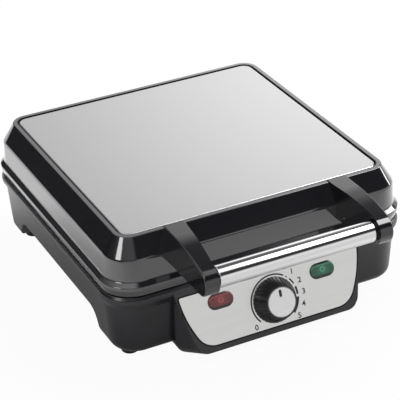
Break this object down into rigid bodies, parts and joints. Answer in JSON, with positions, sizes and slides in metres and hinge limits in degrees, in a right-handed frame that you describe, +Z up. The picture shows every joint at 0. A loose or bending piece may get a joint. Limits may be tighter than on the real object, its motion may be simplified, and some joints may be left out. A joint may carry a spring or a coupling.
{
  "type": "waffle maker",
  "caption": "Square waffle maker with a steel-topped hinged lid, front bar handle, four-grid cooking plates, legged base and sloping panel with dial and lights",
  "frame": {"origin": "On the table, under the centre of the closed appliance's overall box", "axes": "+Z up, the control panel faces -Y, +X to the right of the person who faces the panel"},
  "size_m": [0.2694, 0.3432, 0.1145],
  "materials": {
    "gloss_black": "high gloss black",
    "satin_black": "satin black",
    "brushed_steel": "fine straight brushing",
    "bright_metal": "bright, lightly satin",
    "satin_metal": "satin",
    "coated_casting": "dark non-stick coating",
    "screw_steel": "zinc plated",
    "pin_steel": "turned",
    "element_sheath": "oxidised sheath",
    "zinc_sheet": "zinc coated sheet",
    "fuse_case": "glass-fibre sleeve",
    "cable_sleeve": "black sleeve",
    "foot_rubber": "matt",
    "red_lens": "clear red",
    "green_lens": "clear green",
    "lamp_glass": "clear",
    "thermostat_case": "moulded ceramic-filled plastic",
    "terminal_plastic": "natural",
    "gland_plastic": "black",
    "knob_plastic": "black"
  },
  "bodies": {
    "base": {"base_shell": "satin_black", "bottom_cover": "satin_black", "bottom_cover_screws": "screw_steel", "foot_front_left": "foot_rubber", "foot_front_right": "foot_rubber", "foot_rear_left": "foot_rubber", "foot_rear_right": "foot_rubber", "lower_cooking_plate": "coated_casting", "lower_plate_screws": "screw_steel", "lower_heating_element": "element_sheath", "lower_element_clamps": "zinc_sheet", "lower_clamp_screws": "screw_steel", "lower_heat_shield": "zinc_sheet", "lower_thermal_fuse": "fuse_case", "control_panel": "brushed_steel", "power_lens": "red_lens", "ready_lens": "green_lens", "power_lamp": "lamp_glass", "ready_lamp": "lamp_glass", "thermostat_body": "thermostat_case", "thermostat_bracket": "zinc_sheet", "thermostat_nut": "screw_steel", "terminal_block": "terminal_plastic", "base_wiring": "cable_sleeve", "cord_gland": "gland_plastic", "gland_nut": "gland_plastic", "hinge_pin_left": "pin_steel", "hinge_pin_right": "pin_steel"},
    "lid": {"lid_shell": "gloss_black", "lid_top_plate": "brushed_steel", "handle_arm_left": "gloss_black", "handle_arm_right": "gloss_black", "handle_bar": "bright_metal", "handle_screws": "screw_steel", "upper_cooking_plate": "coated_casting", "upper_plate_screws": "screw_steel", "upper_heating_element": "element_sheath", "upper_element_clamps": "zinc_sheet", "upper_clamp_screws": "screw_steel", "upper_heat_shield": "zinc_sheet", "upper_thermal_fuse": "fuse_case", "lid_wiring": "cable_sleeve"},
    "knob": {"control_knob": "knob_plastic", "knob_cap": "satin_metal", "thermostat_shaft": "pin_steel"}
  },
  "joints": [
    {"name": "lid_hinge", "type": "hinge", "parent": "base", "child": "lid", "pos_m": [0, 0.16315, 0.067], "axis": [-1, 0, 0], "range_deg": [0, 100]},
    {"name": "knob_turn", "type": "hinge", "parent": "base", "child": "knob", "pos_m": [0, -0.1261, 0.03574], "axis": [0, -0.9348, 0.3551], "range_deg": [-135, 132]}
  ]
}
